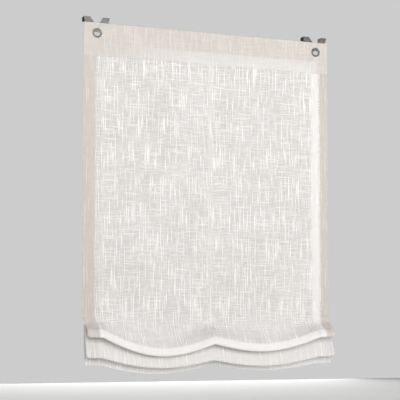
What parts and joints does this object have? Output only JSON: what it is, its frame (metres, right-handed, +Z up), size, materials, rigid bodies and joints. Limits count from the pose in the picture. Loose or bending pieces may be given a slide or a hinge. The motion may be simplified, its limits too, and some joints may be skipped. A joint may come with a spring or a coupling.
{
  "type": "roman blind",
  "caption": "Hook-on roman blind in sheer slub linen with an eyeleted header, its lower end gathered into two swagged folds.",
  "frame": {"origin": "middle of the line that the four hooks rest on, at the underside of the hooks and level with the middle of the cloth's thickness", "axes": "+X along the header, +Y towards the window, away from the room, +Z up"},
  "size_m": [0.801, 0.0737, 1.0654],
  "materials": {
    "linen_sheer": "open slub weave, matt",
    "linen_band": "doubled slub weave, matt",
    "bar_aluminium": "mill",
    "eyelet_nickel": "polished nickel",
    "hanger_steel": "satin",
    "tape_cotton": "woven tape",
    "ring_plastic": "clear-white",
    "cord_cotton": "braided",
    "spring_steel": "drawn wire",
    "stop_plastic": "moulded"
  },
  "bodies": {
    "root": {"cloth_header": "linen_band", "header_bar": "bar_aluminium", "cloth_panel": "linen_sheer", "eyelet_left_front": "eyelet_nickel", "eyelet_left_washer": "eyelet_nickel", "eyelet_right_front": "eyelet_nickel", "eyelet_right_washer": "eyelet_nickel", "hanger_left": "hanger_steel", "hanger_right": "hanger_steel", "ring_tape_left": "tape_cotton", "ring_tape_centre": "tape_cotton", "ring_tape_right": "tape_cotton", "anchor_rings": "ring_plastic", "cord_anchor_knots": "cord_cotton", "gather_cord_left": "cord_cotton", "gather_cord_centre": "cord_cotton", "gather_cord_right": "cord_cotton", "cord_end_knots": "cord_cotton"},
    "gathered_folds": {"cloth_folds": "linen_sheer", "ring_row_5": "ring_plastic", "ring_row_6": "ring_plastic", "stop_body_left": "stop_plastic", "stop_body_centre": "stop_plastic", "stop_body_right": "stop_plastic", "stop_spring_left": "spring_steel", "stop_spring_centre": "spring_steel", "stop_spring_right": "spring_steel"},
    "rings_1": {"ring_row_1": "ring_plastic"},
    "rings_2": {"ring_row_2": "ring_plastic"},
    "rings_3": {"ring_row_3": "ring_plastic"},
    "rings_4": {"ring_row_4": "ring_plastic"},
    "plunger_left": {"stop_plunger_left": "stop_plastic"},
    "plunger_centre": {"stop_plunger_centre": "stop_plastic"},
    "plunger_right": {"stop_plunger_right": "stop_plastic"}
  },
  "joints": [
    {"name": "lift", "type": "slide", "parent": "root", "child": "gathered_folds", "axis": [0, 0, 1], "range_m": [0, 0.56], "deforming": ["cloth_panel", "ring_tape_left", "ring_tape_centre", "ring_tape_right"]},
    {"name": "ring_row_1_slide", "type": "slide", "parent": "root", "child": "rings_1", "axis": [0, 0, 1], "range_m": [0, 0.0869]},
    {"name": "ring_row_2_slide", "type": "slide", "parent": "root", "child": "rings_2", "axis": [0, 0, 1], "range_m": [0, 0.2324]},
    {"name": "ring_row_3_slide", "type": "slide", "parent": "root", "child": "rings_3", "axis": [0, 0, 1], "range_m": [0, 0.3779]},
    {"name": "ring_row_4_slide", "type": "slide", "parent": "root", "child": "rings_4", "axis": [0, 0, 1], "range_m": [0, 0.5234]},
    {"name": "stop_press_left", "type": "slide", "parent": "gathered_folds", "child": "plunger_left", "axis": [-1, 0, 0], "range_m": [0, 0.0025], "stiffness_N_per_m": 400, "springref_m": -0.0015, "deforming": ["stop_spring_left"]},
    {"name": "stop_press_centre", "type": "slide", "parent": "gathered_folds", "child": "plunger_centre", "axis": [-1, 0, 0], "range_m": [0, 0.0025], "stiffness_N_per_m": 400, "springref_m": -0.0015, "deforming": ["stop_spring_centre"]},
    {"name": "stop_press_right", "type": "slide", "parent": "gathered_folds", "child": "plunger_right", "axis": [-1, 0, 0], "range_m": [0, 0.0025], "stiffness_N_per_m": 400, "springref_m": -0.0015, "deforming": ["stop_spring_right"]}
  ],
  "couplings": [
    {"joint": "ring_row_1_slide", "follows": "lift", "ratio": 0.15162},
    {"joint": "ring_row_2_slide", "follows": "lift", "ratio": 0.41146},
    {"joint": "ring_row_3_slide", "follows": "lift", "ratio": 0.6713},
    {"joint": "ring_row_4_slide", "follows": "lift", "ratio": 0.93114}
  ]
}
